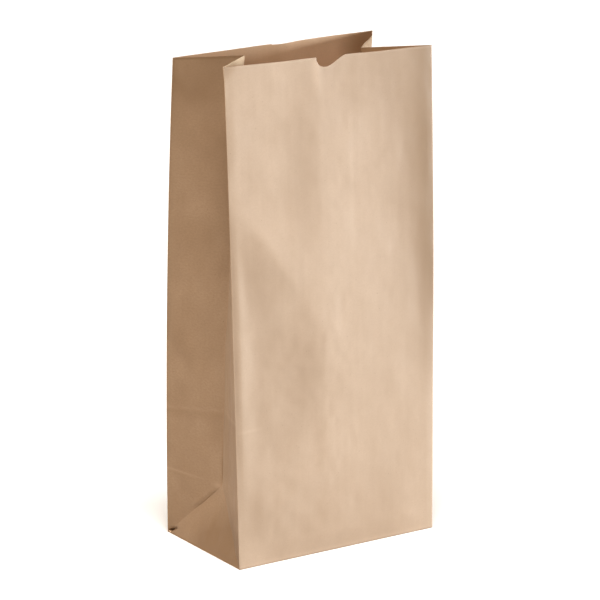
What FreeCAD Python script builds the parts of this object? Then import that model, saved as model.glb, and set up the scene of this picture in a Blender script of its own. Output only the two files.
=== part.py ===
import FreeCAD, Part
import math
import os

# A flat-bottomed kraft paper bag with side gussets, standing open: the plain body of a hand puppet.
# Frame: +Z up, the base rests on Z = 0, the front panel (with the thumb notch) faces -Y, left is -X.
# The bag is one folded sheet.  Each node is a panel of that sheet between two creases, or a paste line.

# ---- driving dimensions, millimetres ----
WIDTH = 130.0            # front and back panels, X
DEPTH = 79.0             # unfolded width of a gusset, and the depth of the base, Y
HEIGHT = 278.0           # mouth above the base
PAPER = 0.15             # one layer of paper
PASTE = 0.03             # one line of dried paste

FOLD_HEIGHT = DEPTH / 2  # crease across the back and the rear gusset halves, where the bag folds flat
APEX_IN = 12.5           # how far a gusset's crease junction stands inside the corner edges
MOUTH_CREASE_IN = 28.0   # the same for the gusset's centre crease at the mouth
CREASE_SHAPE = 1.2       # how late the centre crease turns inwards on its way up
FRONT_IN = 4.0           # inward lean of the front panel at the mouth
FRONT_SHAPE = 0.6        # the front panel leans most near the base
BACK_IN = 19.0           # inward lean of the back panel at the mouth
BACK_BULGE = 2.6         # outward bow of the back panel at mid height

CREASE_GAP = 0.2         # each gusset panel stops this short of its creases
CORNER_GAP = 0.65        # each gusset panel starts this far from the front or back corner edge
CURVE_ROWS = 6           # straight steps up a curved panel

NOTCH_WIDTH = 18.0       # thumb notch in the front panel's top edge
NOTCH_DEPTH = 6.0

LAP_INNER_EDGE = -1.5    # X where the left sheet ends, on the inside of the back seam
LAP_OUTER_EDGE = -15.0   # X where the right sheet ends, on the outside of the back seam
LAP_MARGIN = 1.5         # bare paper each side of the seam's paste

FLAP_OVERLAP = 22.0      # overlap of the two base flaps, which also sets how far the side ears reach
BASE_SIDE_GAP = 0.7      # base layers stop this far inside the gussets
BASE_END_GAP = 0.4       # and this far inside the front and back panels

SIDES = {"left": -1, "right": 1}


def vec(x, y, z):
    return FreeCAD.Vector(x, y, z)


# ---- the open bag's shape ----

def front_y(z):
    """Outer face of the front panel at a height."""
    return -DEPTH / 2 + FRONT_IN * (z / HEIGHT) ** FRONT_SHAPE


def back_y(z):
    """Outer face of the back panel at a height: a lean with an outward bow."""
    s = z / HEIGHT
    return DEPTH / 2 - BACK_IN * s + 4 * BACK_BULGE * s * (1 - s)


def crease_in(z):
    """Inward depth of a gusset's centre crease, above the crease junction."""
    k = (z - FOLD_HEIGHT) / (HEIGHT - FOLD_HEIGHT)
    return APEX_IN + (MOUTH_CREASE_IN - APEX_IN) * k ** CREASE_SHAPE


# a folded gusset pulls its centre crease down by this much
CREASE_DROP = FOLD_HEIGHT - math.sqrt(FOLD_HEIGHT ** 2 - APEX_IN ** 2)


def corner(side, edge_y, z):
    return vec(side * WIDTH / 2, edge_y(z), z)


def crease(side, z):
    x = side * (WIDTH / 2 - crease_in(z))
    return vec(x, (front_y(z) + back_y(z)) / 2, z - CREASE_DROP)


# ---- paper solids ----

def curved_panel(face_y, x0, x1, z0, z1, inset):
    """A panel as wide as x0 to x1 whose outer face follows face_y, inset towards the inside."""
    inwards = 1 if face_y is front_y else -1
    heights = [z0 + (z1 - z0) * i / CURVE_ROWS for i in range(CURVE_ROWS + 1)]
    outer = [vec(x0, face_y(z) + inwards * inset, z) for z in heights]
    inner = [p + vec(0, inwards * PAPER, 0) for p in reversed(outer)]
    return Part.Face(Part.makePolygon(outer + inner + outer[:1])).extrude(vec(x1 - x0, 0, 0))


def facet(points, triangles, inside):
    """A sheet of paper from triangles on its outer face, thickened towards the point inside."""
    normals = [vec(0, 0, 0) for _ in points]
    faced = []
    for a, b, c in triangles:
        n = (points[b] - points[a]).cross(points[c] - points[a])
        if n.dot(inside - points[a]) > 0:
            b, c, n = c, b, n * -1
        faced.append((a, b, c))
        for i in (a, b, c):
            normals[i] += n
    back = [p - n.normalize() * PAPER for p, n in zip(points, normals)]
    skin = [(points[a], points[b], points[c]) for a, b, c in faced]
    skin += [(back[a], back[c], back[b]) for a, b, c in faced]
    directed = {(t[i], t[(i + 1) % 3]) for t in faced for i in range(3)}
    for a, b in directed:
        if (b, a) not in directed:
            skin += [(points[b], points[a], back[a]), (points[b], back[a], back[b])]
    faces = [Part.Face(Part.makePolygon([p, q, r, p])) for p, q, r in skin]
    return Part.makeSolid(Part.makeShell(faces))


def shrunk(a, b, c, gap):
    """A triangle moved in from all three edges by a gap."""
    la, lb, lc = (b - c).Length, (c - a).Length, (a - b).Length
    around = la + lb + lc
    centre = (a * la + b * lb + c * lc) * (1 / around)
    inradius = (b - a).cross(c - a).Length / around
    return [centre + (p - centre) * ((inradius - gap) / inradius) for p in (a, b, c)]


def flat_polygon(points, z):
    outline = [vec(x, y, z) for x, y in points]
    return Part.Face(Part.makePolygon(outline + outline[:1])).extrude(vec(0, 0, PAPER))


# ---- front panel ----

def front_panel():
    radius = (NOTCH_WIDTH ** 2 / 4 + NOTCH_DEPTH ** 2) / (2 * NOTCH_DEPTH)
    centre = vec(0, -DEPTH, HEIGHT - NOTCH_DEPTH + radius)
    notch = Part.makeCylinder(radius, 2 * DEPTH, centre, vec(0, 1, 0))
    return curved_panel(front_y, -WIDTH / 2, WIDTH / 2, 0, HEIGHT, 0).cut(notch)


# ---- back panel: two sheets lapped and pasted, folding at FOLD_HEIGHT ----

def back_sheets(upper, lower):
    """The left sheet, the right sheet and the paste between two heights."""
    left = curved_panel(back_y, -WIDTH / 2, LAP_INNER_EDGE, lower, upper, PAPER + PASTE)
    right = curved_panel(back_y, LAP_OUTER_EDGE, WIDTH / 2, lower, upper, 0)
    heights = [lower + (upper - lower) * i / CURVE_ROWS for i in range(CURVE_ROWS + 1)]
    x0, x1 = LAP_OUTER_EDGE + LAP_MARGIN, LAP_INNER_EDGE - LAP_MARGIN
    near = [vec(x0, back_y(z) - PAPER, z) for z in heights]
    far = [p - vec(0, PASTE, 0) for p in reversed(near)]
    paste = Part.Face(Part.makePolygon(near + far + near[:1])).extrude(vec(x1 - x0, 0, 0))
    return left, right, paste


# ---- gussets ----

def gusset_rows(side, edge_y):
    """Points up a gusset half above the crease junction: by the corner edge, by the centre crease."""
    first = FOLD_HEIGHT + CREASE_GAP
    rows = []
    for i in range(CURVE_ROWS + 1):
        z = first + (HEIGHT - first) * i / CURVE_ROWS
        edge, middle = corner(side, edge_y, z), crease(side, z)
        across = (middle - edge).normalize()
        rows += [edge + across * CORNER_GAP, middle - across * CREASE_GAP]
    strip = [t for r in range(0, 2 * CURVE_ROWS, 2) for t in ((r, r + 1, r + 3), (r, r + 3, r + 2))]
    return rows, strip


def inside_point(side):
    return vec(-side * WIDTH, 0, HEIGHT / 2)


def gusset_front(side):
    """The front half: it also runs down to the front corner below the diagonal crease."""
    rows, strip = gusset_rows(side, front_y)
    across = (rows[1] - rows[0]).normalize()
    tip = corner(side, front_y, CORNER_GAP + 3 * CREASE_GAP) + across * CORNER_GAP
    foot = len(rows)
    return facet(rows + [tip], strip + [(foot, 1, 0)], inside_point(side))


def gusset_rear(side):
    """The rear half above the crease where the back folds."""
    rows, strip = gusset_rows(side, back_y)
    return facet(rows, strip, inside_point(side))


def junction(side):
    return vec(side * (WIDTH / 2 - APEX_IN), 0, FOLD_HEIGHT - CREASE_DROP)


def gusset_foot(side):
    """The triangle below that crease, beside the back panel's folding strip."""
    top = junction(side)
    clear = (CORNER_GAP - CREASE_GAP) / FOLD_HEIGHT
    low, high = (p + (top - p) * clear for p in (corner(side, back_y, 0), corner(side, back_y, FOLD_HEIGHT)))
    return facet(shrunk(low, high, top, CREASE_GAP), [(0, 1, 2)], inside_point(side))


def gusset_triangle(side):
    """The triangle that stands on the base's side edge."""
    front, rear = corner(side, front_y, 0), corner(side, back_y, 0)
    points = shrunk(front, rear, junction(side), CREASE_GAP)
    return facet(points, [(0, 1, 2)], inside_point(side))


# ---- base: layers from the ground up ----

def base_layers():
    """Rear flap, its tucks, front flap, its tucks, then the two side ears uppermost, with paste between the flaps."""
    x, y = WIDTH / 2 - BASE_SIDE_GAP, DEPTH / 2 - BASE_END_GAP
    reach = (DEPTH + FLAP_OVERLAP) / 2 - BASE_END_GAP
    step = PAPER + PASTE
    layers = {}
    for place, end, level in (("outer", 1, 0), ("inner", -1, 2)):
        lip = end * (y - reach)
        flap = [(-x, end * y), (x, end * y), (x - reach, lip), (reach - x, lip)]
        layers["base_{}_flap".format(place)] = flat_polygon(flap, level * step)
        for name, side in SIDES.items():
            tuck = [(side * x, end * y), (side * (x - reach), end * y), (side * (x - reach), lip)]
            layers["base_{}_{}_tuck".format(place, name)] = flat_polygon(tuck, (level + 1) * step)
    for name, side in SIDES.items():
        ear = [(side * x, -y), (side * x, y), (side * (x - reach), y), (side * (x - reach), -y)]
        layers["base_{}_ear".format(name)] = flat_polygon(ear, 4 * step)
    half_x, half_y = x - reach - LAP_MARGIN, FLAP_OVERLAP / 2 - LAP_MARGIN
    corner_at = vec(-half_x, -half_y, PAPER)
    layers["base_paste"] = Part.makeBox(2 * half_x, 2 * half_y, 2 * step - PAPER, corner_at)
    return layers


# ---- the whole bag ----

def build():
    parts = {"front_panel": front_panel()}
    upper = back_sheets(HEIGHT, FOLD_HEIGHT + CREASE_GAP)
    lower = back_sheets(FOLD_HEIGHT - CREASE_GAP, 0)
    parts.update(zip(("back_panel_left", "back_panel_right", "back_seam_paste"), upper))
    parts.update(zip(("back_fold_left", "back_fold_right", "back_fold_paste"), lower))
    for name, side in SIDES.items():
        parts[name + "_gusset_front"] = gusset_front(side)
        parts[name + "_gusset_rear"] = gusset_rear(side)
        parts[name + "_gusset_foot"] = gusset_foot(side)
        parts[name + "_gusset_triangle"] = gusset_triangle(side)
    parts.update(base_layers())
    return parts


os.makedirs("parts", exist_ok=True)
for node, shape in build().items():
    shape.exportStep("parts/{}.step".format(node))
    print(node, "valid", shape.isValid(), "solids", len(shape.Solids), "mm3", round(shape.Volume, 1))
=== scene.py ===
import math

import bmesh
import bpy
import numpy as np
from mathutils import Matrix, Vector


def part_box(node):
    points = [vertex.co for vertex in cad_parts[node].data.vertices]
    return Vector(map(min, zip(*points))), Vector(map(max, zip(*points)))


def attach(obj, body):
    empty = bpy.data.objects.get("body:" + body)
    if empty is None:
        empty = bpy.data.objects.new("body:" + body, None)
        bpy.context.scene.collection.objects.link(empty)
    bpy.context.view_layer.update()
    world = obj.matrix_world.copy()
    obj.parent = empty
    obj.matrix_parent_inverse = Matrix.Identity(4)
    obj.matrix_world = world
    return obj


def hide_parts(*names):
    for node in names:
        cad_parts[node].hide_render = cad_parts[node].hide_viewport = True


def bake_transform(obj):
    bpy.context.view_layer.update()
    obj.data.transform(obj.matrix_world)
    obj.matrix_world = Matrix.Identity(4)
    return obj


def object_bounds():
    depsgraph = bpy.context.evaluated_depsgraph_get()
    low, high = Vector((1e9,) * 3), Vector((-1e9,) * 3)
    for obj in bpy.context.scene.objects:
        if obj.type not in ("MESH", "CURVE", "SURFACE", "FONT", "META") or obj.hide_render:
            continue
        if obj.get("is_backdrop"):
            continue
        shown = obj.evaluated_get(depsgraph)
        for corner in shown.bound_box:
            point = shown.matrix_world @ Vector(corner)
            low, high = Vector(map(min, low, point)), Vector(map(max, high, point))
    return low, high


# An open kraft paper bag.  Every panel is a thin curved sheet between its creases, in metres,
# in the CAD frame: +Z up, the front panel (with the thumb notch) faces -Y, left is -X.

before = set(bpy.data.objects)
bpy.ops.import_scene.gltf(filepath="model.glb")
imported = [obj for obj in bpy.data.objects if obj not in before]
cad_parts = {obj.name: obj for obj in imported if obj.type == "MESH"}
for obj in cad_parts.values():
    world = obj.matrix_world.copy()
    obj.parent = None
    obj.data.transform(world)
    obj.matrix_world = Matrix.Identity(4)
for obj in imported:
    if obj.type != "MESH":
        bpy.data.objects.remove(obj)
cad_box = [list(corner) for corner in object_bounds()]


# ---- sizes from the frame ----

def box_of(node):
    low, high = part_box(node)
    return np.array(low), np.array(high)


LOW, HIGH = np.array(cad_box[0]), np.array(cad_box[1])
WIDTH, DEPTH, HEIGHT = HIGH - LOW
HALF_W, HALF_D = WIDTH / 2, DEPTH / 2
FOLD = HALF_D                                     # height of the crease across the back
FRONT_IN = box_of("front_panel")[1][1] + HALF_D   # inward lean at the mouth
BACK_IN = HALF_D - box_of("back_panel_right")[0][1]
CREASE_GAP = 0.0002                               # what the CAD panels leave open at a crease
MOUTH_IN = box_of("left_gusset_front")[1][0] + HALF_W + CREASE_GAP
APEX_IN = box_of("left_gusset_triangle")[1][0] + HALF_W
LAP_RIGHT = box_of("back_panel_left")[1][0]       # edge of the left sheet, inside the seam
LAP_LEFT = box_of("back_panel_right")[0][0]       # edge of the right sheet, outside the seam
FLAP_LIP = box_of("base_outer_flap")[0][1]        # how far the base's outer flap reaches
LAYER = box_of("base_inner_flap")[0][2] / 2       # height of one base layer

MM = 0.001
CREASE_SHAPE = 1.2         # how late the gusset's centre crease turns inwards
BACK_BULGE = 2.6 * MM      # outward bow of the back panel
CREASE_DROP = FOLD - math.sqrt(FOLD ** 2 - APEX_IN ** 2)
PAPER = 0.13 * MM          # thickness of the sheets that show
BASE_ROUND = 0.25 * MM     # radius where the walls turn under the base
CORNER_ROUND = 0.25 * MM   # how far a corner crease is rounded off
CORNER_REACH = 1.4 * MM    # and how far from the crease the rounding reaches
NOTCH_LEFT, NOTCH_LOW, NOTCH_RIGHT = -8.9 * MM, -2.9 * MM, 12.3 * MM    # its ends and lowest point
NOTCH_DEPTH = 5.5 * MM
RIGHT_FLARE = 0.9 * MM     # the front's right edge opens forwards towards the mouth
EAR = 0.8 * MM             # the turned-in corner at the top left of the front
MOUTH_DRIFT = {            # how far handling has pushed each corner of the mouth (x, y, z)
    ("front", -1): (-2.0 * MM, 0.8 * MM, 1.0 * MM), ("front", 1): (1.1 * MM, -0.1 * MM, 0.6 * MM),
    ("back", -1): (-1.5 * MM, 0.1 * MM, -1.3 * MM), ("back", 1): (0.0, 0.3 * MM, 1.5 * MM),
}
EDGE_BOW = {               # how far each corner crease bows sideways at mid-height
    ("front", -1): -0.1 * MM, ("front", 1): 1.3 * MM,
    ("back", -1): -0.9 * MM, ("back", 1): 0.3 * MM,
}
TIP_RISE = {-1: 3.0 * MM, 1: -1.0 * MM}    # the gussets' centre creases at the mouth
MOUTH_CREASE_IN = {-1: MOUTH_IN + 1.6 * MM, 1: MOUTH_IN - 0.4 * MM}
JUNCTION_SHIFT = np.array([0.8, 1.6, 0.9]) * MM    # the crease junction, squashed in, forwards and down
NOTCH_ROWS = 22 * MM       # the rows under the front's top edge that bend to the notch
NEAREST = 0.00012          # closest that two rows or columns of a sheet may be
NOTCH_NEAREST = 0.00002    # and closest at the notch
SLOPED = 0.707             # distance from a 45 degree crease, per upright millimetre
LIP = 0.9 * MM             # the paper's cut edge at the mouth, darkened with a painted shade line this wide
W, D, H = WIDTH / MM, DEPTH / MM, HEIGHT / MM      # in millimetres, for relief, wear, painted light and painted shade

SIDES = {"left": -1, "right": 1}


# ---- small helpers ----

def smooth(t):
    """From 0 to 1, eased at both ends."""
    t = np.clip(t, 0, 1)
    return t * t * (3 - 2 * t)


def rise(x, start, end, power=0):
    """From 0 at start to 1 at end, eased, or as a plain power."""
    t = np.clip((x - start) / (end - start), 0, 1)
    return t ** power if power else t * t * (3 - 2 * t)


def band(x, centre, width):
    """A soft hump, 1 at the centre and about 0.37 one width away."""
    return np.exp(-((x - centre) / width) ** 2)


def ripple(u, v, seed, across, along, waves=7):
    """Smooth random relief between about -1 and 1 with the given wavelengths."""
    dice = np.random.default_rng(seed)
    total = np.zeros(np.broadcast(u, v).shape)
    for _ in range(waves):
        ku = 2 * math.pi / (across * dice.uniform(0.6, 1.8)) * dice.choice((-1, 1))
        kv = 2 * math.pi / (along * dice.uniform(0.6, 1.8))
        total += np.sin(ku * u + kv * v + dice.uniform(0, 2 * math.pi))
    return total / math.sqrt(waves / 2) / 1.6


def cloud(u, v, seed, across, along, octaves=3):
    """Uneven mottling between about -1 and 1: blended random heights on a lattice, in octaves."""
    dice = np.random.default_rng(seed)
    u, v = np.broadcast_arrays(u, v)
    total, weight = np.zeros(u.shape), 1.0
    for octave in range(octaves):
        lattice = dice.uniform(-1, 1, (97, 89))
        a = u / across * 2 ** octave + dice.uniform(10, 60)
        b = v / along * 2 ** octave + dice.uniform(10, 60)
        i, j = np.floor(a).astype(int), np.floor(b).astype(int)
        s, t = smooth(a - i), smooth(b - j)
        rows, cols = lattice.shape
        corner = lambda di, dj: lattice[(i + di) % rows, (j + dj) % cols]
        near = corner(0, 0) * (1 - s) + corner(1, 0) * s
        far = corner(0, 1) * (1 - s) + corner(1, 1) * s
        total += weight * (near * (1 - t) + far * t)
        weight *= 0.55
    return total


def hill(x, foot, top, brow, end, up=0, down=0):
    """Rises from foot to top, stays at 1, and falls from brow to end."""
    return rise(x, foot, top, up) * (1 - rise(x, brow, end, down))


def strongest(*marks):
    """The largest of overlapping marks at each point."""
    return np.maximum.reduce(np.broadcast_arrays(*marks))


def steps(start, end, pitch, fine_start=True, fine_end=True):
    """Places from start to end at about one pitch, closer together beside a crease."""
    inner = np.linspace(start, end, max(3, int(round((end - start) / pitch)) + 1))
    close = np.array([0.15, 0.35, 0.65, 1.0, 1.5]) * MM
    extra = ([start + close] if fine_start else []) + ([end - close] if fine_end else [])
    places = np.unique(np.concatenate([inner, *extra]).round(7))
    keep = [places[0]]
    for value in places[1:]:
        if value - keep[-1] > NEAREST:
            keep.append(value)
    keep[-1] = end
    return np.array(keep)


# ---- the shape of the open bag ----

def base_round(z):
    """Inset where a wall turns under the base."""
    d = np.clip(BASE_ROUND - z, 0, BASE_ROUND)
    return BASE_ROUND - np.sqrt(BASE_ROUND ** 2 - d ** 2)


def front_y(z):
    """The front panel leans evenly inwards."""
    return -HALF_D + FRONT_IN * np.maximum(z, 0) / HEIGHT + base_round(z)


def back_y(z):
    """The back panel leans inwards and bows out at mid-height."""
    s = z / HEIGHT
    return HALF_D - BACK_IN * s + 4 * BACK_BULGE * s * (1 - s) - base_round(z)


def crease_in(side, z):
    """How far a gusset's centre crease is folded inwards at height z."""
    k = np.clip((z - FOLD) / (HEIGHT - FOLD), 0, 1)
    return APEX_IN + (MOUTH_CREASE_IN[side] - APEX_IN) * k ** CREASE_SHAPE


def right_flare(z):
    """How far the front's right edge has opened forwards at height z."""
    return RIGHT_FLARE * rise(z, 75 * MM, 170 * MM)


def drift(wall, side, z):
    """How far a corner crease has moved at height z."""
    dx, dy, dz = MOUTH_DRIFT[wall, side]
    k = (z / HEIGHT) ** 2
    flare = right_flare(z) if (wall, side) == ("front", 1) else 0.0
    bow = 4 * EDGE_BOW[wall, side] * (z / HEIGHT) * (1 - z / HEIGHT)
    return dx * k + bow, dy * k - flare, dz * k


def ear(d, z):
    """The turned-in corner, at distance d from the front's left crease."""
    return EAR * smooth(1 - (d + HEIGHT - z) / (10 * MM))


def point(x, y, z):
    x, y, z = np.broadcast_arrays(np.asarray(x, float), y, z)
    return np.stack([x, y, z], -1)


def corner_edge(side, wall, z):
    """The corner crease between a gusset and the front or back panel, slightly rounded."""
    inwards = 1 if wall == "front" else -1
    dx, dy, dz = drift(wall, side, z)
    x = side * (HALF_W - base_round(z) - CORNER_ROUND) + dx
    return point(x, WALL_Y[wall](z) + inwards * CORNER_ROUND + dy, z + dz)


def centre_crease(side, z):
    """The fold line down the middle of a gusset, from the mouth to the crease junction."""
    between = (corner_edge(side, "front", z) + corner_edge(side, "back", z)) / 2
    k = np.clip((z - FOLD) / (HEIGHT - FOLD), 0, 1)
    low = 1 - rise(z, FOLD, 150 * MM)
    inwards, forwards, down = (shift * low for shift in JUNCTION_SHIFT)
    x = between[..., 0] + side * (CORNER_ROUND - crease_in(side, z) - inwards)
    height = between[..., 2] - CREASE_DROP - down + TIP_RISE[side] * k ** 2
    return point(x, between[..., 1] - forwards, height)


def junction(side):
    """Where a gusset's centre crease and its diagonal creases meet."""
    return centre_crease(side, np.float64(FOLD))


WALL_Y = {"front": front_y, "back": back_y}


# ---- building a sheet ----

def normals_of(grid, inwards):
    """Unit normals of a grid of points, on the side that faces inwards."""
    du = np.gradient(grid, axis=1)
    dv = np.gradient(grid, axis=0)
    normal = np.cross(du, dv)
    length = np.linalg.norm(normal, axis=-1, keepdims=True)
    normal = normal / np.maximum(length, 1e-15)
    towards = (normal * inwards).sum(-1, keepdims=True)
    return normal * np.where(towards < 0, -1, 1)


def store(mesh, label, outside, inside, shape):
    """A value for each outer point and each inner point, for the material to read."""
    values = [np.broadcast_to(value, shape).ravel() for value in (outside, inside)]
    attribute = mesh.attributes.new(label, "FLOAT", "POINT")
    attribute.data.foreach_set("value", np.concatenate(values).astype(np.float32))


def sheet(name, grid, inwards, uv, pale_wear_and_light, painted_shade_and_mottle=0.0, thickness=PAPER, inner_wear_and_light=None, inner_painted_shade=None):
    """A mesh of a grid of outer points, thickened along inwards, with its flat layout as UV."""
    rows, cols = grid.shape[:2]
    normal = normals_of(grid, np.array(inwards, float))
    for row in (0, rows - 1):
        if np.ptp(grid[row], axis=0).max() < 1e-7:
            normal[row] = normal[row + (1 if row == 0 else -1)].mean(0)
    inner = grid + normal * thickness
    count = rows * cols
    index = np.arange(count).reshape(rows, cols)
    a, b = index[:-1, :-1].ravel(), index[:-1, 1:].ravel()
    c, d = index[1:, 1:].ravel(), index[1:, :-1].ravel()
    outer_faces = np.stack([a, b, c, d], -1)
    rim = np.concatenate([index[0, :], index[1:, -1], index[-1, -2::-1], index[-2:0:-1, 0]])
    after = np.roll(rim, -1)
    rim_faces = np.stack([after, rim, rim + count, after + count], -1)
    faces = np.concatenate([outer_faces, outer_faces[:, ::-1] + count, rim_faces])
    first = outer_faces[len(outer_faces) // 2]
    corners = grid.reshape(-1, 3)[first]
    facing = np.cross(corners[1] - corners[0], corners[3] - corners[0])
    if facing @ np.array(inwards, float) > 0:
        faces = faces[:, ::-1]
    points = np.concatenate([grid.reshape(-1, 3), inner.reshape(-1, 3)])
    mesh = bpy.data.meshes.new(name)
    mesh.from_pydata(points.tolist(), [], faces.tolist())
    sides = np.zeros(len(faces), np.int32)
    sides[len(outer_faces):2 * len(outer_faces)] = 1
    mesh.polygons.foreach_set("material_index", sides)
    layout = np.concatenate([uv.reshape(-1, 2)] * 2)
    loops = np.empty(len(mesh.loops), np.int64)
    mesh.loops.foreach_get("vertex_index", loops)
    mesh.uv_layers.new(name="Sheet").data.foreach_set("uv", layout[loops].astype(np.float32).ravel())
    store(mesh, "pale_wear_and_light", pale_wear_and_light, pale_wear_and_light if inner_wear_and_light is None else inner_wear_and_light, (rows, cols))
    # painted shade, and the gussets' random mottling, for each point
    store(mesh, "painted_shade_and_mottle", painted_shade_and_mottle, painted_shade_and_mottle if inner_painted_shade is None else inner_painted_shade, (rows, cols))
    work = bmesh.new()
    work.from_mesh(mesh)
    bmesh.ops.remove_doubles(work, verts=work.verts, dist=2e-6)
    bmesh.ops.dissolve_degenerate(work, edges=work.edges, dist=1e-6)
    for face in work.faces:
        face.smooth = True
    sharp = math.radians(50)
    for edge in work.edges:
        if len(edge.link_faces) == 2 and edge.calc_face_angle(0) > sharp:
            edge.smooth = False
    work.to_mesh(mesh)
    work.free()
    made = bpy.data.objects.new(name, mesh)
    bpy.context.scene.collection.objects.link(made)
    return made


def place(made, body, material, *nodes):
    """Gives a sheet its materials, hides the CAD nodes it stands for, and puts it on its body."""
    made.data.materials.append(material)
    made.data.materials.append(PASTE if material == PASTE else INSIDE_PAINTED_LIGHT)
    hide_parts(*nodes)
    if body:
        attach(made, body)


# ---- kraft paper ----

def kraft(name, tone, shade, glaze, grain=1.0):
    """Unbleached kraft: cloudy formation, upright streaks, fibres and flecks, worn pale at its creases,
    darkened by painted shade and paled by painted light where the sheet's point values say.
    """
    material = bpy.data.materials.new(name)
    material.use_nodes = True
    nodes, links = material.node_tree.nodes, material.node_tree.links
    shader = nodes["Principled BSDF"]

    def add(kind, **values):
        node = nodes.new(kind)
        for key, value in values.items():
            if key in node.inputs:
                node.inputs[key].default_value = value
            else:
                setattr(node, key.lower().replace(" ", "_"), value)
        return node

    uv = add("ShaderNodeUVMap")
    uv.uv_map = "Sheet"

    def stretched(sx, sy):
        mapping = add("ShaderNodeMapping")
        mapping.inputs["Scale"].default_value = (sx, sy, 1)
        links.new(uv.outputs["UV"], mapping.inputs["Vector"])
        return mapping.outputs["Vector"]

    def clouds(vector, detail, rough, low, high):
        noise = add("ShaderNodeTexNoise", Detail=detail, Roughness=rough, Scale=1.0)
        links.new(vector, noise.inputs["Vector"])
        ramp = add("ShaderNodeMapRange")
        ramp.inputs["From Min"].default_value = low
        ramp.inputs["From Max"].default_value = high
        links.new(noise.outputs["Fac"], ramp.inputs["Value"])
        return ramp.outputs["Result"]

    def mix(a, b, factor):
        node = add("ShaderNodeMix")
        node.data_type = "RGBA"
        node.inputs["Factor"].default_value = 1.0
        sockets = [s for s in node.inputs if s.type == "RGBA"]
        for value, socket in ((a, sockets[0]), (b, sockets[1])):
            if isinstance(value, tuple):
                socket.default_value = (*value, 1)
            else:
                links.new(value, socket)
        if isinstance(factor, float):
            node.inputs["Factor"].default_value = factor
        else:
            links.new(factor, node.inputs["Factor"])
        return [s for s in node.outputs if s.type == "RGBA"][0]

    def times(value, number):
        node = add("ShaderNodeMath", operation="MULTIPLY")
        links.new(value, node.inputs[0])
        node.inputs[1].default_value = number
        return node.outputs[0]

    formation = clouds(stretched(90, 60), 5.0, 0.6, 0.3, 0.7)
    streaks = clouds(stretched(330, 26), 4.0, 0.6, 0.34, 0.66)
    fibres = clouds(stretched(2600, 900), 3.0, 0.65, 0.3, 0.7)
    speckle = clouds(stretched(620, 1000), 2.0, 0.7, 0.36, 0.64)
    flecks = clouds(stretched(1500, 700), 1.0, 0.5, 0.735, 0.80)
    patches = clouds(stretched(14, 8), 3.0, 0.5, 0.3, 0.7)
    colour = mix(shade, tone, formation)
    colour = mix(colour, tuple(c * 1.06 for c in tone), times(streaks, 0.28))
    colour = mix(colour, tuple(c * 0.88 for c in shade), times(patches, 0.28))
    colour = mix(colour, tuple(c * 0.78 for c in shade), times(fibres, 0.16 * grain))
    colour = mix(colour, tuple(c * 0.7 for c in shade), times(speckle, 0.42 * (grain - 1)))
    colour = mix(colour, tuple(c * 0.45 for c in shade), times(flecks, 0.45 * min(grain, 1.6)))
    # painted shade: a point value darkens the colour towards a darker brown
    painted_shade_node = add("ShaderNodeAttribute")
    painted_shade_node.attribute_name = "painted_shade_and_mottle"
    painted_darkening = tuple(c * k for c, k in zip(tone, (0.55, 0.49, 0.41)))
    colour = mix(colour, painted_darkening, times(painted_shade_node.outputs["Fac"], 0.62))
    # pale wear at the creases; on some faces the same point value is painted light
    worn_and_lit = add("ShaderNodeAttribute")
    worn_and_lit.attribute_name = "pale_wear_and_light"
    broken = add("ShaderNodeMath", operation="MULTIPLY")
    links.new(worn_and_lit.outputs["Fac"], broken.inputs[0])
    links.new(fibres, broken.inputs[1])
    edge = add("ShaderNodeMath", operation="ADD", use_clamp=True)
    links.new(times(worn_and_lit.outputs["Fac"], 0.35), edge.inputs[0])
    links.new(times(broken.outputs[0], 0.5), edge.inputs[1])
    wear_and_light_colour = tuple(min(1.0, c * 1.22 + 0.03) for c in tone)
    colour = mix(colour, wear_and_light_colour, edge.outputs[0])
    links.new(colour, shader.inputs["Base Color"])

    gloss = add("ShaderNodeMapRange")
    gloss.inputs["To Min"].default_value = glaze - 0.07
    gloss.inputs["To Max"].default_value = glaze + 0.10
    links.new(formation, gloss.inputs["Value"])
    links.new(gloss.outputs["Result"], shader.inputs["Roughness"])
    shader.inputs["Specular IOR Level"].default_value = 0.22
    shader.inputs["Sheen Weight"].default_value = 0.02
    shader.inputs["Sheen Roughness"].default_value = 0.5

    height = add("ShaderNodeMath", operation="ADD")
    links.new(times(fibres, 0.5), height.inputs[0])
    links.new(times(streaks, 0.25), height.inputs[1])
    lumps = add("ShaderNodeMath", operation="ADD")
    links.new(height.outputs[0], lumps.inputs[0])
    links.new(times(formation, 0.9), lumps.inputs[1])
    bump = add("ShaderNodeBump", Strength=0.35, Distance=0.00009)
    links.new(lumps.outputs[0], bump.inputs["Height"])
    links.new(bump.outputs["Normal"], shader.inputs["Normal"])
    return material


TONE, SHADE = (0.420, 0.306, 0.216), (0.380, 0.272, 0.187)


def toned(light, dark):
    """The outer face's two browns, scaled."""
    return tuple(c * light for c in TONE), tuple(c * dark for c in SHADE)


OUTER = kraft("kraft_panel", TONE, SHADE, 0.52, 1.25)
# the gussets' kraft: the panel kraft made more saturated, a painted shade tint for their shaded faces
SHADE_TINTED_KRAFT = kraft("kraft_gusset", (0.420, 0.280, 0.172), (0.376, 0.244, 0.144), 0.58, 2.0)
# painted light: the inner face's kraft is about twice as light as the outer, for the light inside the bag
INSIDE_PAINTED_LIGHT = kraft("kraft_inner_face_painted_light", (0.880, 0.602, 0.388), (0.815, 0.542, 0.339), 0.66, 1.3)
LAPPED = kraft("kraft_base", *toned(0.97, 0.95), 0.6)
PASTE = kraft("dried_paste", *toned(0.84, 0.8), 0.38)


# ---- relief, wear, painted light and painted shade ----
# Inside these functions distances are in millimetres.  Relief comes out in metres.

def crease_line(d, width):
    """Pale wear along a crease at distance d."""
    return np.exp(-(np.abs(d) / width) ** 1.5)


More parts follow.
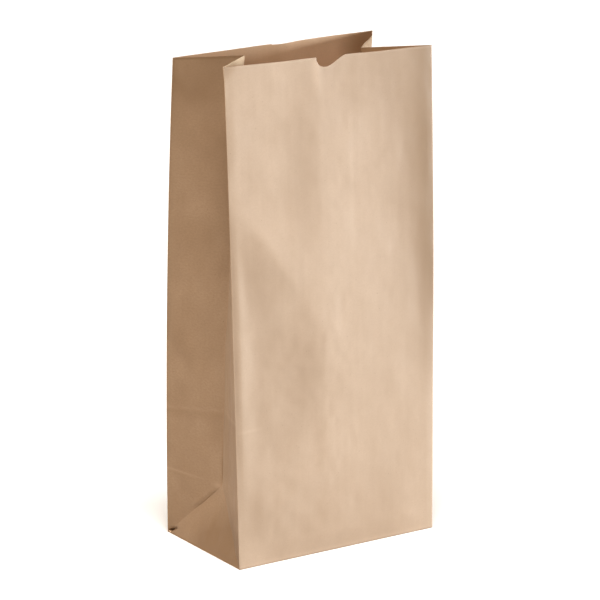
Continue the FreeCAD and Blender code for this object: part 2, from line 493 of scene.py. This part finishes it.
def fold_mark(d, depth):
    """A pressed line across a panel, at distance d: a shallow step with a ridge."""
    return depth * (band(d, 0, 0.9) - 0.6 * band(d, -1.6, 1.8))


def edge_distance(x):
    """How far a place on the front or back is from its nearer corner crease, in millimetres."""
    return np.minimum(x + W / 2, W / 2 - x)


# ---- front panel ----

def notch_top(x):
    """Height of the front's top edge, in metres: a thumb notch, steep on its left, easing out."""
    left = np.clip((NOTCH_LOW - x) / (NOTCH_LOW - NOTCH_LEFT), 0, 1)
    right = np.clip((x - NOTCH_LOW) / (NOTCH_RIGHT - NOTCH_LOW), 0, 1)
    depth = np.where(x < NOTCH_LOW, (1 - left ** 2.6) ** 0.5, 1 - smooth(right * 1.1))
    waves = 0.25 * MM * np.sin(x / (17 * MM)) * rise(np.abs(x), 12 * MM, 30 * MM)
    return HEIGHT - NOTCH_DEPTH * depth - np.abs(waves)


def swells(x, z):
    """The large soft forms of the front panel, in millimetres."""
    # a broad swell whose crest starts at the left edge and runs down to the middle
    foot = -64 + 11 * rise(205 - z, 0, 100)
    crest = np.maximum(np.minimum(-9, -60 + 0.68 * (203 - z)), foot + 4)
    high = 3.1 * rise(205 - z, 0, 40) - 1.6 * rise(125 - z, 0, 60)
    swell = high * hill(x, foot, crest, crest, 56, 1.35, 1.1)
    # the strip along the left crease stands up before the dip in front of that swell
    strip = 0.7 * hill(x, -W / 2, -62.5, -63, foot + 3) * hill(z, 20, 80, 150, 215)
    # an upright ridge left of the middle, under the notch
    ridge = hill(x, -31, -9, -9, 34, 1.5, 1) * hill(z, 120, 190, 236, 272)
    # two low humps at the foot, which leave dents beside them
    left_hump = 1.2 * hill(x, -63, -49, -49, 0) * band(z, 30, 15)
    middle_hump = 0.45 * hill(x, -13, -1, -1, 16, 1.3) * band(z, 22, 13)
    return swell + strip + ridge + left_hump + middle_hump


def front_relief(x, z):
    """Outward displacement of the front panel's face between its corner creases, in metres."""
    x, z = x / MM, z / MM
    reach = 1.3
    spots = [(i, j) for i in (-1, 0, 1) for j in (-1, 0, 1)]
    forms = sum(swells(x + i * reach, z + 2 * j * reach) for i, j in spots) / len(spots)
    small = 0.06 * cloud(x, z, 3, 7, 40, 2) + 0.14 * cloud(x, z, 4, 16, 24) + 0.10 * ripple(x, z, 5, 42, 60)
    blistered = 0.3 + band(x, -24, 26) * (1 - rise(z, 110, 150))
    blisters = 0.16 * cloud(x, z, 6, 9, 9, 2) * blistered
    tug = 0.14 * band(x, -9.2, 2.4) * rise(z, 250, 270)
    d = edge_distance(x)
    fullness = 0.4 * smooth(d / 5) + smooth(d / 3) * (forms + small + blisters + tug)
    pressed = fold_mark(z - 0.01 * (x + W / 2) - D, 0.10) * (0.25 + 0.75 * band(x, -56, 9))
    return MM * (smooth(z / 12) * fullness + smooth(d / 1.5) * pressed)


def front_wear(x, z):
    """Pale wear: the corner creases, the foot, the pressed line and the notch's cut edge; beside the notch,
    a painted highlight on a small dent.
    """
    corners = 0.6 * crease_line(edge_distance(x), 0.7) * rise(z, 0, 3)
    bottom = 0.15 * crease_line(z - 1.2, 0.8)
    pressed = 0.4 * band(x, -56, 8) * crease_line(z - D - 0.01 * x, 0.7)
    # painted highlight on the small dent beside the notch
    beside_notch = 0.5 * band(x, -9.3, 2.6) * rise(z, 252, 268)
    cut_edge = 0.25 * crease_line(notch_top(x * MM) / MM - z, 0.5)
    return strongest(corners, bottom, pressed, beside_notch, cut_edge)


def front_painted_shade(x, z):
    """Painted shade on the front: along the right edge, below the mouth, at the foot and bottom edge, the
    forms' soft shadows and the turned-in corner.
    """
    right_edge = np.exp(-((W / 2 - x) / (14 + 9.5 * rise(z, 110, 230))) ** 1.6)
    painted_shade_and_mottle = 1.55 * rise(z, 62, 165) * right_edge + 0.15 * rise(x, 8, 34)
    painted_shade_and_mottle = painted_shade_and_mottle + 0.38 * rise(z, 226, 262) * hill(x, -34, 2, 34, 46)
    painted_shade_and_mottle = painted_shade_and_mottle + 0.36 * (1 - rise(z, 14, 66)) * hill(x, -52, -38, 34, 52) + 1 - rise(z, 0.2, 0.8)
    painted_shade_and_mottle = painted_shade_and_mottle + 0.25 * hill(z, 50, 70, 120, 140) * hill(x, -60, -50, -28, -14)
    # the long soft shadow below the swell's crest, and the ones beside the ridge and in the dent
    painted_shade_and_mottle = painted_shade_and_mottle + 0.5 * band(x, -48 - 0.35 * (z - 150), 10) * band(z, 158, 34)
    painted_shade_and_mottle = painted_shade_and_mottle + 0.45 * band(x, -19, 9.5) * (band(z, 215, 40) + band(z, 105, 24))
    painted_shade_and_mottle = painted_shade_and_mottle + 0.5 * band(x, -51, 6.5) * band(z, 33, 17)
    return painted_shade_and_mottle + 0.8 * ear((x + W / 2) * MM, z * MM) / EAR


def front_shift(u, z):
    """Where the panel's corners have moved, spread over its width."""
    share = (u + HALF_W) / WIDTH
    (lx, ly, lz), (rx, ry, rz) = drift("front", -1, z), drift("front", 1, z)
    height = z / MM
    spread_from = MM * (60 - 22 * rise(height, 95, 240, 1) - 22 * rise(height, 225, H, 1.5))
    flare = right_flare(z)
    dy = ly * (1 - share) + (ry + flare) * share - flare * rise(u, spread_from, HALF_W, 1.7)
    return lx * (1 - share) + rx * share, dy + ear(u + HALF_W, z), lz * (1 - share) + rz * share


def rounded(d):
    """Inset of a face beside a corner crease at distance d."""
    return CORNER_ROUND * np.clip(1 - d / CORNER_REACH, 0, 1) ** 2


def front_columns():
    """Places across the front: finer at the creases, in the notch and at its steep left end."""
    notch = np.linspace(NOTCH_LEFT, NOTCH_RIGHT, 61)
    steep = NOTCH_LEFT + np.array([0.02, 0.06, 0.14]) * MM
    places = np.concatenate([steps(-HALF_W, HALF_W, 1.5 * MM), notch, steep])
    places = np.unique(places.round(7))
    places = places[np.concatenate([[True], np.diff(places) > NOTCH_NEAREST])]
    places[-1] = HALF_W
    return places


def front_panel():
    u, v = np.meshgrid(front_columns(), steps(0, HEIGHT, 1.5 * MM, True, False))
    low = HEIGHT - NOTCH_ROWS
    z = np.where(v > low, low + (v - low) * (notch_top(u) - low) / NOTCH_ROWS, v)
    d = np.minimum(u + HALF_W, HALF_W - u)
    dx, dy, dz = front_shift(u, z)
    x = u * (HALF_W - base_round(z)) / HALF_W - np.sign(u) * rounded(d) + dx
    y = front_y(z) + rounded(d) - front_relief(u, z) + dy
    pale_wear_and_light, painted_shade_and_mottle = front_wear(u / MM, z / MM), front_painted_shade(u / MM, z / MM)
    made = sheet("front_panel_sheet", point(x, y, z + dz), (0, 1, 0), np.stack([u, z], -1), pale_wear_and_light, painted_shade_and_mottle)
    place(made, "front", OUTER, "front_panel")


front_panel()


# ---- back panel: lapped sheets ----

def back_relief(x, z):
    """Outward displacement of the back's face, in metres."""
    x, z = x / MM, z / MM
    d = edge_distance(x)
    free = smooth(d / 6) * smooth(z / 8) * smooth(np.abs(z - FOLD / MM) / 6)
    waves = 0.45 + 0.28 * ripple(x, z, 11, 60, 130) + 0.1 * ripple(x, z, 12, 14, 90)
    lip = 0.5 * smooth((z / H - 0.95) / 0.05) * ripple(x, 0 * z, 13, 70, 1)
    return MM * (free * (waves + lip) + fold_mark(z - D, 0.14) * smooth(d / 1.5))


def back_wear(x, z):
    corners = 0.2 * crease_line(edge_distance(x), 0.7)
    fold = 0.7 * crease_line(z - FOLD / MM, 0.7)
    pressed = 0.3 * crease_line(z - D, 0.5)
    bottom = 0.5 * crease_line(z, 0.8)
    return strongest(corners, fold, pressed, bottom)


def back_sheet(name, across, up, lift, body, fine, node):
    """Part of the back panel, across from x to x and up from z to z, lifted inwards by lift."""
    us = steps(*across, 2 * MM, *fine)
    vs = steps(*up, 2 * MM, True, up[1] < HEIGHT)
    u, z = np.meshgrid(us, vs)
    if up[1] == HEIGHT and across[0] == LAP_LEFT:
        z = z - 0.7 * MM * band(u, 5 * MM, 9 * MM) * rise(z, HEIGHT - 20 * MM, HEIGHT)
    d = np.minimum(u + HALF_W, HALF_W - u)
    share = (u + HALF_W) / WIDTH
    (lx, ly, lz), (rx, ry, rz) = drift("back", -1, z), drift("back", 1, z)
    x = u * (HALF_W - base_round(z)) / HALF_W - np.sign(u) * rounded(d) + lx * (1 - share) + rx * share
    y = back_y(z) - rounded(d) + back_relief(u, z) - lift * smooth(d / (3 * MM))
    y = y + ly * (1 - share) + ry * share
    grid = point(x, y, z + lz * (1 - share) + rz * share)
    flat = np.stack([u + 2 * WIDTH, z], -1)
    # painted shade on the back's inner face: darker at the left, and more so towards the right
    shaded = 0.62 * (1 - rise(u, 2 * MM, 14 * MM)) + 1.6 * rise(u, 38 * MM, 58 * MM)
    made = sheet(name, grid, (0, -1, 0), flat, back_wear(u / MM, z / MM), inner_painted_shade=shaded)
    place(made, body, PASTE if "paste" in name else OUTER, node)


def back_panels():
    """The seam's two lapped sheets and the paste between them, above and below the fold."""
    lap = PAPER + 0.05 * MM
    margin, top_margin = 1.5 * MM, 2 * MM
    left, right = (-HALF_W, LAP_RIGHT), (LAP_LEFT, HALF_W)
    line = (LAP_LEFT + margin, LAP_RIGHT - margin)
    for part, body, low, high in (("panel", "back", FOLD, HEIGHT), ("fold", "back_strip", 0.0, FOLD)):
        node = "back_{}_".format(part)
        seam = "back_seam_paste" if part == "panel" else "back_fold_paste"
        up = (low, high)
        back_sheet(node + "left_sheet", left, up, lap, body, (True, False), node + "left")
        back_sheet(node + "right_sheet", right, up, 0.0, body, (False, True), node + "right")
        back_sheet(seam + "_line", line, (low, high - top_margin), PAPER, body, (False, False), seam)


back_panels()


# ---- gussets ----

def slant(side, y):
    """How the pressed line at one depth's height slopes on the left gusset."""
    return 0.10 * (y - 0.2 * D) if side < 0 else 0 * y


def gusset_relief(side, y, z):
    """Outward displacement of a gusset, the same function for all its panels so that they meet."""
    low = (drift("front", side, z)[1] + front_y(z)) / MM
    high = (drift("back", side, z)[1] + back_y(z)) / MM
    apex = junction(side) / MM
    y, z = y / MM, z / MM
    d = np.minimum(y - low, high - y)
    seed = 20 + 10 * (side > 0)
    waves = 0.22 * ripple(y, z, seed, 34, 90) + 0.05 * ripple(y, z, seed + 1, 11, 60)
    waves = waves + 0.14 * cloud(y, z, seed + 2, 9, 11)
    back_half = np.clip(y / high, 0, 1)
    bow = (1.4 if side > 0 else 0.8) * 4 * back_half * (1 - back_half) * rise(z, 120, H)
    free = smooth(d / 7) * smooth(z / 6) * (waves + bow + 0.4)
    pressed = fold_mark(z + slant(side, y) - D, 0.3) * smooth(d / 2) * (0.6 + 0.4 * np.sin(y / 6))
    # the squashed knot where the creases meet
    knot = 0.55 * band(np.hypot(y - apex[1], z - apex[2]), 0, 3.2)
    return MM * (free + pressed + knot)


def creases(side, y, z):
    """Extra outward displacement: the diagonal creases, the centre crease and the pinched corner."""
    centre_y = centre_crease(side, z)[..., 1] / MM
    apex = junction(side) / MM
    y, z = y / MM, z / MM
    from_back = D / 2 - y
    along = z / apex[2]
    off = (z - apex[2] * from_back / (D / 2 - apex[1])) * SLOPED
    press = hill(along, 0.44, 0.62, 0.82, 0.95) if side < 0 else 0.6 * hill(along, 0.2, 0.6, 0.9, 1.0)
    diagonal = press * (0.25 * band(off, 1.9, 1.2) - 0.48 * np.exp(-np.abs(off) / 0.5))
    centre = -0.6 * np.exp(-np.abs(y - centre_y) / 0.6) * hill(z, 34, 39, 46, 68)
    pinch = -2.6 * band(z - 0.8 - 0.42 * from_back, 0, 0.75) * smooth(from_back / 1.2)
    pinch = pinch * (1 - rise(from_back, 3, 11)) * (1.0 if side < 0 else 0.5)
    return MM * (diagonal + centre + pinch)


def relieve(side, grid):
    """The gusset's grid moved out by its relief and creases."""
    y, z = grid[..., 1], grid[..., 2]
    out = grid.copy()
    out[..., 0] += side * (gusset_relief(side, y, z) + creases(side, y, z))
    return out


def gusset_wear(side, grid, *creased):
    """Wear along each crease, given as its strength and the distance to it in metres."""
    y, z = grid[..., 1] / MM, grid[..., 2] / MM
    apex = junction(side) / MM
    marks = [strength * crease_line(d / MM, 0.6) for strength, d in creased]
    pressed = 0.26 * crease_line(z + slant(side, y) - D + 1.2, 0.8)
    knot = 0.3 * band(np.hypot(y - apex[1], z - apex[2]), 0, 2.4)
    behind_knot = 0.5 * band(y - apex[1], 3, 3) * band(z - apex[2], -0.5, 1.6)
    return strongest(0 * z, *marks, pressed, knot, behind_knot)


def gusset_shade_and_mottle(side, grid):
    """Painted shade: in the deep creases and the pinched corner, along the bottom edge, at the foot, below
    the pressed line, towards the front at the top and at the tip, over an even base; plus random mottling.
    """
    deep = -creases(side, grid[..., 1], grid[..., 2]) / (0.8 * MM)
    y, z = grid[..., 1] / MM, grid[..., 2] / MM
    painted_shade_and_mottle = 0.5 + 0.24 * cloud(y, z, 31, 12, 16) + np.clip(deep, 0, 1.1)
    painted_shade_and_mottle = painted_shade_and_mottle + 1.1 * (1 - rise(z, 0.2, 1.0)) + 0.3 * band(z + slant(side, y), D - 4, 3.5)
    painted_shade_and_mottle = painted_shade_and_mottle + 1.7 * (1 - rise(z, 2, 40)) * (0.3 + 0.7 * rise(-y, -22, 12))
    painted_shade_and_mottle = painted_shade_and_mottle + 0.65 * rise(z, 140, 230) * rise(-y, -26, 20) * (1 - 0.5 * rise(z, 235, 255))
    return painted_shade_and_mottle + 0.6 * rise(z, 215, 262) * rise(y, -12, 16) + 0.2 * band(z, 140, 30) * rise(y, 0, 20)


def inner_marks(side, fronts, z, d_edge):
    """Painted light and painted shade on a gusset half's inner face, by height and distance from the corner
    crease: paler near the mouth on the left front half, darker near the mouth on the right and beside the
    corner crease lower down.
    """
    # painted highlight near the mouth on the left front half's inner face
    worn_and_lit = (1.0 if side < 0 and fronts else 0.0) * rise(z, 250, 268)
    # painted shade near the mouth on the right, and beside the corner crease lower down
    painted_darkening = (1.6 if side > 0 else 0.0) * rise(z, 225, 262)
    return worn_and_lit, painted_darkening + 1.6 * (1 - rise(d_edge, 2, 5)) * (1 - rise(z, 215, 245))


def gusset_half(side, wall, half):
    """The front half reaches down to the diagonal; the rear half stops at the fold crease."""
    name = "left" if side < 0 else "right"
    body = "{}_gusset_{}".format(name, half)
    fronts = half == "front"
    pitch = 1.6 * MM
    vs = steps(0.0 if fronts else FOLD, HEIGHT, pitch, True, False)
    if fronts:
        vs = np.unique(np.concatenate([vs, [FOLD]]).round(7))
    t, v = np.meshgrid(steps(0, HALF_D, pitch) / HALF_D, vs)
    edge = corner_edge(side, wall, v)
    low_share = np.clip(v / FOLD, 0, 1)[..., None]
    start_point = corner_edge(side, wall, np.zeros_like(v))
    diagonal = start_point + (junction(side) - start_point) * low_share
    middle = np.where((v < FOLD)[..., None], diagonal, centre_crease(side, v))
    grid = edge + (middle - edge) * t[..., None]
    run = np.linalg.norm(middle - edge, axis=-1)
    d_edge, d_middle = t * run, (1 - t) * run
    if fronts and side < 0:
        grid[..., 1] += ear(d_edge, v)
    centre_wear = np.where(v < FOLD, 0.08, 0.25 * rise(v, 50 * MM, 90 * MM))
    creased = [(0.6 if fronts else 0.1, d_edge), (centre_wear, d_middle)]
    if not fronts:
        creased.append((0.38 * rise(d_middle, 8 * MM, 30 * MM), v - FOLD))
    pale_wear_and_light = gusset_wear(side, grid, *creased)
    # painted shade: a dark line along the cut edge at the mouth, on both faces
    lip = 1.2 * rise(v, HEIGHT - LIP, HEIGHT - 0.2 * MM)
    painted_shade_and_mottle = gusset_shade_and_mottle(side, grid) + lip
    # painted shade along the rear half's corner crease
    if not fronts:
        painted_shade_and_mottle = painted_shade_and_mottle + 0.9 * crease_line(d_edge / MM, 0.8)
    worn_and_lit, painted_darkening = inner_marks(side, fronts, v / MM, d_edge / MM)
    u = (HALF_W + t * HALF_D) if fronts else (HALF_W + DEPTH - t * HALF_D)
    flat = np.stack([side * u, v], -1)
    made = sheet(body + "_sheet", relieve(side, grid), (-side, 0, 0), flat, pale_wear_and_light, painted_shade_and_mottle,
                 inner_wear_and_light=worn_and_lit, inner_painted_shade=painted_darkening + lip)
    place(made, None, SHADE_TINTED_KRAFT, body)
    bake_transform(made)


def gusset_facet(side, kind):
    """One of the two triangles below the crease junction."""
    name = "left" if side < 0 else "right"
    body = "{}_gusset_{}".format(name, kind)
    apex = junction(side)
    zs = steps(0, FOLD, 1.1 * MM, True, True)
    t, v = np.meshgrid(np.linspace(0, 1, 34 if kind == "foot" else 56), zs)
    k = (v / FOLD)[..., None]
    rear_low = corner_edge(side, "back", np.zeros_like(v))
    other = rear_low + (apex - rear_low) * k
    if kind == "foot":
        edge = corner_edge(side, "back", v)
        u = HALF_W + DEPTH - t * v
        from_diagonal = (1 - t) * v
        fold_wear = 0.38 * rise(from_diagonal, 8 * MM, 30 * MM)
        creased = [(0.1, t * v), (0.08, from_diagonal * SLOPED), (fold_wear, v - FOLD)]
    else:
        front_low = corner_edge(side, "front", np.zeros_like(v))
        edge = front_low + (apex - front_low) * k
        reach = DEPTH - 2 * v
        u = HALF_W + v + t * reach
        creased = [(0.08, np.minimum(t, 1 - t) * reach * SLOPED)]
    grid = edge + (other - edge) * t[..., None]
    pale_wear_and_light, painted_shade_and_mottle = gusset_wear(side, grid, *creased), gusset_shade_and_mottle(side, grid)
    flat = np.stack([side * u, v], -1)
    made = sheet(body + "_sheet", relieve(side, grid), (-side, 0, 0), flat, pale_wear_and_light, painted_shade_and_mottle)
    place(made, body, SHADE_TINTED_KRAFT, body)


for side in SIDES.values():
    gusset_half(side, "front", "front")
    gusset_half(side, "back", "rear")
    gusset_facet(side, "foot")
    gusset_facet(side, "triangle")


# ---- base ----

def base_patch(node, corners, level, seed, material, thickness=PAPER, dip=None, cells=(40, 26)):
    """A flat piece of the base with four corners (the last two may meet), one layer thick."""
    a, b, c, d = (np.array(p) for p in corners)
    s, t = np.meshgrid(np.linspace(0, 1, cells[0]), np.linspace(0, 1, cells[1]))
    s, t = s[..., None], t[..., None]
    flat = (a * (1 - s) + b * s) * (1 - t) + (d * (1 - s) + c * s) * t
    edge = np.minimum(np.minimum(s, 1 - s), np.minimum(t, 1 - t))[..., 0]
    waves = 1 + ripple(flat[..., 0], flat[..., 1], seed, 25 * MM, 25 * MM)
    lift = np.clip(0.02 * MM * waves * smooth(edge * 6), 0, 0.04 * MM)
    grid = point(flat[..., 0], flat[..., 1], level + lift)
    if dip:
        grid[..., 2] *= dip(flat[..., 0], flat[..., 1])
    pale_wear_and_light = 0.5 * crease_line(edge * 60, 0.7)
    made = sheet(node + "_sheet", grid, (0, 0, 1), flat + np.array([0, -0.5]), pale_wear_and_light, 0.0, thickness)
    place(made, "base", material, node)


def base_layers():
    """Five layers: outer flap, its tucks, inner flap, its tucks, and the gussets' ears on top."""
    inset = BASE_ROUND + 0.2 * MM
    x, y = HALF_W - CORNER_ROUND - inset, HALF_D - inset
    reach = y - FLAP_LIP
    for place_name, end, level in (("outer", 1, 0), ("inner", -1, 2)):
        lip = end * (y - reach)
        flap = [(-x, end * y), (x, end * y), (x - reach, lip), (reach - x, lip)]
        base_patch("base_{}_flap".format(place_name), flap, level * LAYER, 51 + level, LAPPED)
        for name, side in SIDES.items():
            rim, inner = (side * x, end * y), (side * (x - reach), end * y)
            tuck = [rim, inner, (side * (x - reach), lip), rim]
            node = "base_{}_{}_tuck".format(place_name, name)
            base_patch(node, tuck, (level + 1) * LAYER, 61 + level, LAPPED)

    def ear_dip(px, py):
        """Between the flaps' slanted edges the ear comes down to the side crease."""
        from_side = x - np.abs(px)
        past_flap = y - np.abs(py) - from_side - 0.7 * MM
        return 1 - smooth(past_flap / (2.5 * MM)) * (1 - rise(from_side, 27 * MM, 38 * MM))

    for name, side in SIDES.items():
        inner_x = side * (x - reach)
        corners = [(side * x, -y), (side * x, y), (inner_x, y), (inner_x, -y)]
        node = "base_{}_ear".format(name)
        base_patch(node, corners, 4 * LAYER, 71 + side, LAPPED, dip=ear_dip, cells=(60, 120))
    low, high = box_of("base_paste")
    patch = [(low[0], low[1]), (high[0], low[1]), (high[0], high[1]), (low[0], high[1])]
    base_patch("base_paste", patch, low[2], 81, PASTE, 0.8 * (high[2] - low[2]))


base_layers()


# ---- stage, light and camera ----

def plain(name, colour, roughness):
    material = bpy.data.materials.new(name)
    material.use_nodes = True
    shader = material.node_tree.nodes["Principled BSDF"]
    shader.inputs["Base Color"].default_value = (*colour, 1)
    shader.inputs["Roughness"].default_value = roughness
    shader.inputs["Specular IOR Level"].default_value = 0.1
    return material


def floor():
    mesh = bpy.data.meshes.new("floor")
    size = 8.0
    corners = [(-size, -size, 0), (size, -size, 0), (size, size, 0), (-size, size, 0)]
    mesh.from_pydata(corners, [], [(0, 1, 2, 3)])
    made = bpy.data.objects.new("floor", mesh)
    made.location.z = -0.00005
    bpy.context.scene.collection.objects.link(made)
    mesh.materials.append(plain("floor_white", (0.97, 0.97, 0.97), 0.9))
    made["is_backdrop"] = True


def softbox(name, position, target, size, power, colour):
    data = bpy.data.lights.new(name, "AREA")
    data.shape = "RECTANGLE"
    data.size, data.size_y = size
    data.energy = power
    data.color = colour
    made = bpy.data.objects.new(name, data)
    made.location = position
    made.rotation_euler = (Vector(target) - Vector(position)).to_track_quat("-Z", "Y").to_euler()
    bpy.context.scene.collection.objects.link(made)


def lights():
    middle = (0, 0, HEIGHT / 2)
    softbox("key", (1.75, -1.02, 0.24), middle, (0.7, 0.5), 65, (0.84, 0.93, 1.0))
    softbox("back_fill", (-1.2, 2.1, 0.8), middle, (1.2, 1.0), 12, (1.0, 0.88, 0.74))
    softbox("side_fill", (-2.2, -0.3, 0.5), middle, (1.2, 1.0), 4.5, (1.0, 0.82, 0.62))
    data = bpy.data.lights.new("overhead", "SUN")
    data.energy = 3.7
    data.angle = math.radians(25)
    data.color = (1.0, 0.95, 0.90)
    made = bpy.data.objects.new("overhead", data)
    made.location = (-0.38, -0.6, 1.9)
    made.rotation_euler = (-made.location).to_track_quat("-Z", "Y").to_euler()
    bpy.context.scene.collection.objects.link(made)
    world = bpy.data.worlds.new("studio")
    world.use_nodes = True
    world.node_tree.nodes["Background"].inputs["Color"].default_value = (1.0, 0.84, 0.68, 1)
    world.node_tree.nodes["Background"].inputs["Strength"].default_value = 0.16
    bpy.context.scene.world = world
    bpy.context.scene.view_settings.view_transform = "Standard"


def camera():
    azimuth, elevation, roll = math.radians(32.48), math.radians(14.26), math.radians(-0.54)
    distance = 1.6213
    level = math.cos(elevation)
    forward = Vector((math.sin(azimuth) * level, math.cos(azimuth) * level, -math.sin(elevation)))
    right = Vector((math.cos(azimuth), -math.sin(azimuth), 0))
    up = right.cross(forward)
    target = Vector((0.00139, 0, HEIGHT / 2)) + up * -0.00344
    data = bpy.data.cameras.new("camera")
    data.sensor_width = 36
    data.lens = 173.42
    made = bpy.data.objects.new("camera", data)
    tilted_right = right * math.cos(roll) + up * math.sin(roll)
    tilted_up = up * math.cos(roll) - right * math.sin(roll)
    turn = Matrix((tilted_right, tilted_up, -forward)).transposed()
    made.matrix_world = Matrix.Translation(target - forward * distance) @ turn.to_4x4()
    bpy.context.scene.collection.objects.link(made)
    bpy.context.scene.camera = made


floor()
lights()
camera()

{"cad": cad_box, "visual": [list(corner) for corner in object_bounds()]}
